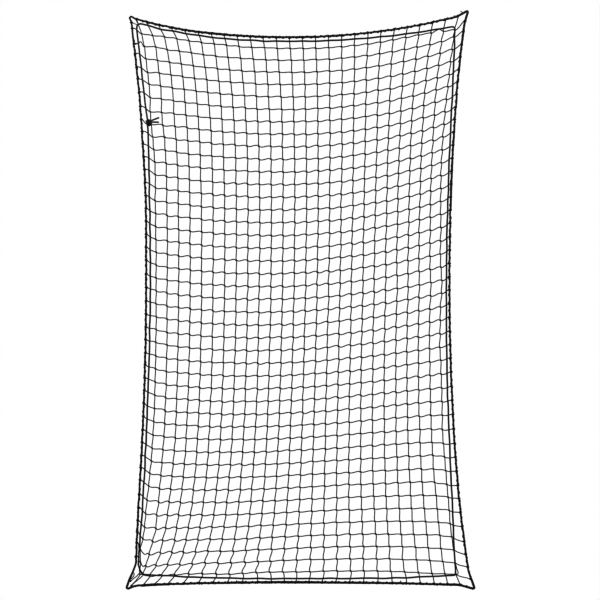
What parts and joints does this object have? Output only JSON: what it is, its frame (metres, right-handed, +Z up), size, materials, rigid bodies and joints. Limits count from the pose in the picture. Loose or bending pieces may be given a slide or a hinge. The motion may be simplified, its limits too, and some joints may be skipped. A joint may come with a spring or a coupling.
{
  "type": "pitch back rebounder net",
  "caption": "Square-mesh knotted net in a lashed border rope with corner eyes and a knotted lacing cord, hung by its corners to return thrown balls.",
  "frame": {"origin": "top left corner eye of the border rope, as seen from the front, where the first hook holds the net", "axes": "+Z up, +X to the right seen from the front, front of the net towards -Y"},
  "size_m": [1.302, 0.0303, 2.1558],
  "materials": {
    "netting_twine": "twisted black polyethylene twine, slight sheen",
    "border_rope": "laid black polypropylene rope, satin",
    "lashing_twine": "twisted black polyethylene twine, slight sheen",
    "lacing_cord": "braided black polypropylene cord, satin"
  },
  "bodies": {
    "root": {"border_rope": "border_rope", "column_twine_01": "netting_twine", "column_twine_02": "netting_twine", "column_twine_03": "netting_twine", "column_twine_04": "netting_twine", "column_twine_05": "netting_twine", "column_twine_06": "netting_twine", "column_twine_07": "netting_twine", "column_twine_08": "netting_twine", "column_twine_09": "netting_twine", "column_twine_10": "netting_twine", "column_twine_11": "netting_twine", "column_twine_12": "netting_twine", "column_twine_13": "netting_twine", "column_twine_14": "netting_twine", "column_twine_15": "netting_twine", "column_twine_16": "netting_twine", "column_twine_17": "netting_twine", "column_twine_18": "netting_twine", "column_twine_19": "netting_twine", "column_twine_20": "netting_twine", "column_twine_21": "netting_twine", "column_twine_22": "netting_twine", "column_twine_23": "netting_twine", "column_twine_24": "netting_twine", "column_twine_25": "netting_twine", "column_twine_26": "netting_twine", "corner_tie": "lashing_twine", "lacing_cord": "lacing_cord", "lacing_cord_knot": "lacing_cord", "lacing_cord_tail_lower": "lacing_cord", "lacing_cord_tail_upper": "lacing_cord", "lashing_bottom": "lashing_twine", "lashing_left": "lashing_twine", "lashing_right": "lashing_twine", "lashing_top": "lashing_twine", "row_twine_01": "netting_twine", "row_twine_02": "netting_twine", "row_twine_03": "netting_twine", "row_twine_04": "netting_twine", "row_twine_05": "netting_twine", "row_twine_06": "netting_twine", "row_twine_07": "netting_twine", "row_twine_08": "netting_twine", "row_twine_09": "netting_twine", "row_twine_10": "netting_twine", "row_twine_11": "netting_twine", "row_twine_12": "netting_twine", "row_twine_13": "netting_twine", "row_twine_14": "netting_twine", "row_twine_15": "netting_twine"}
  },
  "joints": []
}
